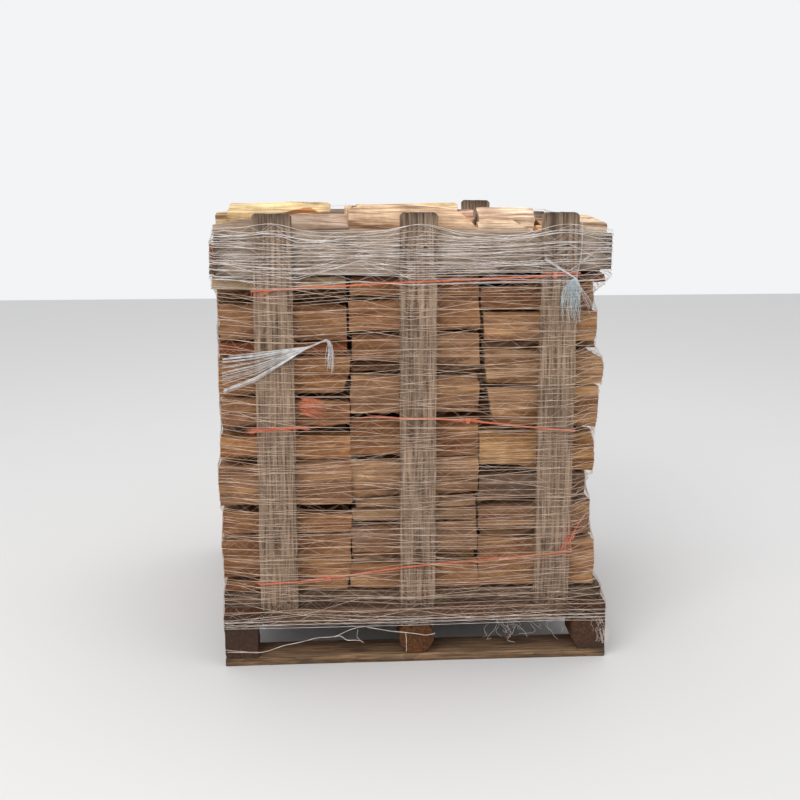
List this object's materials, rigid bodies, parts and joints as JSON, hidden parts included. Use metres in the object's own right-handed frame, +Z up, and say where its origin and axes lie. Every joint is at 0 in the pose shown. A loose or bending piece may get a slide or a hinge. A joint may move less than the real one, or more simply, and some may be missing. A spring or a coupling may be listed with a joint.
{
  "type": "pallet of split firewood",
  "caption": "Stack of split firewood logs on a wooden block pallet, held by upright boards, baler twine and a knitted net sleeve.",
  "frame": {"origin": "middle of the underside of the pallet, on the floor, half way across the width and depth", "axes": "+Z up, -Y towards the front with the three wide posts, +X to the right seen from the front"},
  "size_m": [1.024, 1.02, 1.19],
  "materials": {
    "split_log": "rough split softwood and hardwood, orange-tan to grey, bark left on some backs, sawn end grain",
    "pallet_board": "weathered grey-brown sawn board",
    "pallet_block": "dirty brown block with end grain",
    "post_board": "weathered grey-brown board with upright grain and dark knots",
    "twine": "orange fibrillated baler twine, frayed at its knots",
    "net": "fine translucent white knitted net pulled tight"
  },
  "bodies": {
    "root": {"base_board_front": "pallet_board", "base_board_middle": "pallet_board", "base_board_back": "pallet_board", "block_left_front": "pallet_block", "block_middle_front": "pallet_block", "block_right_front": "pallet_block", "block_left_middle": "pallet_block", "block_middle_middle": "pallet_block", "block_right_middle": "pallet_block", "block_left_back": "pallet_block", "block_middle_back": "pallet_block", "block_right_back": "pallet_block", "joist_left": "pallet_block", "joist_middle": "pallet_block", "joist_right": "pallet_block", "deck_plank_1": "pallet_board", "deck_plank_2": "pallet_board", "deck_plank_3": "pallet_board", "deck_plank_4": "pallet_board", "deck_plank_5": "pallet_board", "cross_board_front": "pallet_board", "post_front_left": "post_board", "post_front_middle": "post_board", "post_front_right": "post_board", "post_back_left": "post_board", "post_back_middle": "post_board", "post_back_right": "post_board", "rail_front": "post_board", "rail_back": "post_board", "log_left_1": "split_log", "log_left_2": "split_log", "log_left_3": "split_log", "log_left_4": "split_log", "log_left_5": "split_log", "log_left_6": "split_log", "log_left_7": "split_log", "log_left_8": "split_log", "log_middle_1": "split_log", "log_middle_2": "split_log", "log_middle_3": "split_log", "log_middle_4": "split_log", "log_middle_5": "split_log", "log_middle_6": "split_log", "log_middle_7": "split_log", "log_middle_8": "split_log", "log_right_1": "split_log", "log_right_2": "split_log", "log_right_3": "split_log", "log_right_4": "split_log", "log_right_5": "split_log", "log_right_6": "split_log", "log_right_7": "split_log", "log_right_8": "split_log", "logs_behind_left": "split_log", "logs_behind_middle": "split_log", "logs_behind_right": "split_log", "twine_lower": "twine", "twine_middle": "twine", "twine_upper": "twine", "net_sleeve": "net"}
  },
  "joints": []
}
